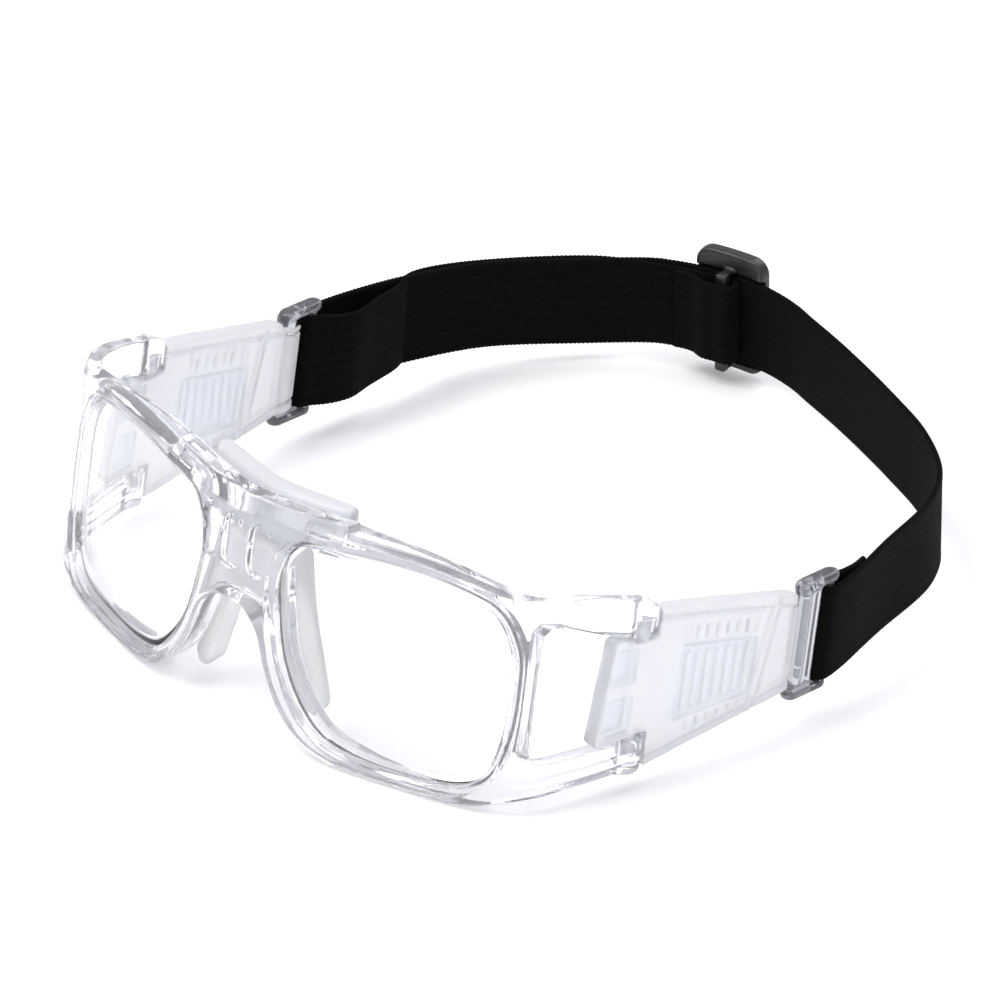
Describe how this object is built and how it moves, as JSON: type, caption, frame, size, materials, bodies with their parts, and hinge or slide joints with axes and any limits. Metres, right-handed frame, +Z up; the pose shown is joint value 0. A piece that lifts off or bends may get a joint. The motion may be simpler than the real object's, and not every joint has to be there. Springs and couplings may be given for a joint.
{
  "type": "sports protective goggles",
  "caption": "Clear wraparound sports goggles with hinged frosted arms, strap rings and an adjustable elastic head strap.",
  "frame": {"origin": "on the floor under the middle of the goggles' outline, standing as they rest on a table", "axes": "+X to the wearer's left, -Y the way the lenses face, +Z up"},
  "size_m": [0.1586, 0.1758, 0.0494],
  "materials": {
    "clear_polycarbonate": "clear moulded polycarbonate, glossy",
    "lens": "clear polished lens",
    "silicone": "milky soft silicone",
    "frosted_tpu": "frosted bluish white soft plastic",
    "ring_plastic": "clear glossy plastic with smoky edges",
    "webbing": "black woven elastic",
    "black_plastic": "black satin plastic"
  },
  "bodies": {
    "frame": {"front_frame": "clear_polycarbonate", "lens_left": "lens", "lens_right": "lens", "brow_pad": "silicone", "nose_pad": "silicone", "strap_outer": "webbing", "strap_inner": "webbing"},
    "arm_left": {"temple_arm_left": "frosted_tpu"},
    "arm_right": {"temple_arm_right": "frosted_tpu"},
    "ring_left": {"strap_ring_left": "ring_plastic", "strap_loop_left": "webbing"},
    "ring_right": {"strap_ring_right": "ring_plastic", "strap_loop_right": "webbing"},
    "slider": {"strap_slider": "black_plastic", "strap_wrap": "webbing"}
  },
  "joints": [
    {"name": "arm_left_swing", "type": "hinge", "parent": "frame", "child": "arm_left", "pos_m": [0.0732, -0.0451, 0.0223], "axis": [0, 0.1628, 0.9867], "range_deg": [-8, 28], "deforming": ["strap_outer", "strap_inner"]},
    {"name": "arm_right_swing", "type": "hinge", "parent": "frame", "child": "arm_right", "pos_m": [-0.0732, -0.0451, 0.0223], "axis": [0, -0.1628, -0.9867], "range_deg": [-8, 28], "deforming": ["strap_outer", "strap_inner"]},
    {"name": "ring_left_swivel", "type": "hinge", "parent": "arm_left", "child": "ring_left", "pos_m": [0.0765, -0.00438, 0.0182], "axis": [0, 0.1628, 0.9867], "range_deg": [-12, 12], "deforming": ["strap_loop_left"]},
    {"name": "ring_right_swivel", "type": "hinge", "parent": "arm_right", "child": "ring_right", "pos_m": [-0.0765, -0.00438, 0.0182], "axis": [0, -0.1628, -0.9867], "range_deg": [-12, 12], "deforming": ["strap_loop_right"]},
    {"name": "slider_travel", "type": "hinge", "parent": "frame", "child": "slider", "pos_m": [-0.026, 0.04025, 0.014], "axis": [0, 0, 1], "range_deg": [-7, 7], "deforming": ["strap_wrap", "strap_inner"]}
  ]
}
